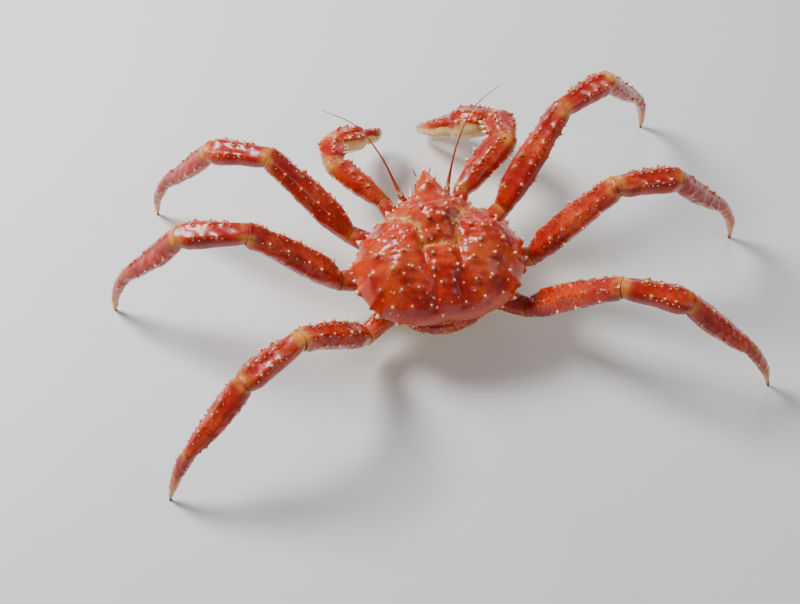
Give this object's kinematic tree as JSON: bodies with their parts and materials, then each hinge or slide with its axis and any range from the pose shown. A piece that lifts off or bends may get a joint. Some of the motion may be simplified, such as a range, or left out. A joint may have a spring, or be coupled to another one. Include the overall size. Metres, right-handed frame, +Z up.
{
  "type": "red king crab",
  "caption": "Life-size cooked-red king crab standing on its walking legs, spiny shell raised in front, claws held low.",
  "frame": {"origin": "on the floor, under the middle of the whole crab's outer box", "axes": "+X towards the crab's right side, along its leg span; +Y the way it faces; +Z up from the floor"},
  "size_m": [0.7386, 0.4416, 0.1874],
  "materials": {
    "carapace_shell": "glossy cooked shell, orange-red with yellow seams and pale spine tips",
    "leg_shell": "glossy red shell above, cream below, orange-yellow towards the foot",
    "claw_shell": "red shell above, cream below with small black dots, white teeth",
    "pale_shell": "cream-yellow shell with faint orange",
    "eye": "wet black",
    "feeler": "satin orange-brown"
  },
  "bodies": {
    "root": {"carapace": "carapace_shell", "thorax": "pale_shell", "abdomen": "pale_shell", "eye_right": "eye", "antenna_right": "feeler", "antennule_right": "feeler", "mouth_leg_right": "pale_shell", "leg_right_front_base": "leg_shell", "leg_right_front_merus": "leg_shell", "leg_right_front_carpus": "leg_shell", "leg_right_front_propodus": "leg_shell", "leg_right_front_dactylus": "leg_shell", "leg_right_middle_base": "leg_shell", "leg_right_middle_merus": "leg_shell", "leg_right_middle_carpus": "leg_shell", "leg_right_middle_propodus": "leg_shell", "leg_right_middle_dactylus": "leg_shell", "leg_right_rear_base": "leg_shell", "leg_right_rear_merus": "leg_shell", "leg_right_rear_carpus": "leg_shell", "leg_right_rear_propodus": "leg_shell", "leg_right_rear_dactylus": "leg_shell", "claw_right_base": "claw_shell", "claw_right_merus": "claw_shell", "claw_right_carpus": "claw_shell", "claw_right_palm": "claw_shell", "claw_right_finger": "claw_shell", "eye_left": "eye", "antenna_left": "feeler", "antennule_left": "feeler", "mouth_leg_left": "pale_shell", "leg_left_front_base": "leg_shell", "leg_left_front_merus": "leg_shell", "leg_left_front_carpus": "leg_shell", "leg_left_front_propodus": "leg_shell", "leg_left_front_dactylus": "leg_shell", "leg_left_middle_base": "leg_shell", "leg_left_middle_merus": "leg_shell", "leg_left_middle_carpus": "leg_shell", "leg_left_middle_propodus": "leg_shell", "leg_left_middle_dactylus": "leg_shell", "leg_left_rear_base": "leg_shell", "leg_left_rear_merus": "leg_shell", "leg_left_rear_carpus": "leg_shell", "leg_left_rear_propodus": "leg_shell", "leg_left_rear_dactylus": "leg_shell", "claw_left_base": "claw_shell", "claw_left_merus": "claw_shell", "claw_left_carpus": "claw_shell", "claw_left_palm": "claw_shell", "claw_left_finger": "claw_shell"}
  },
  "joints": []
}
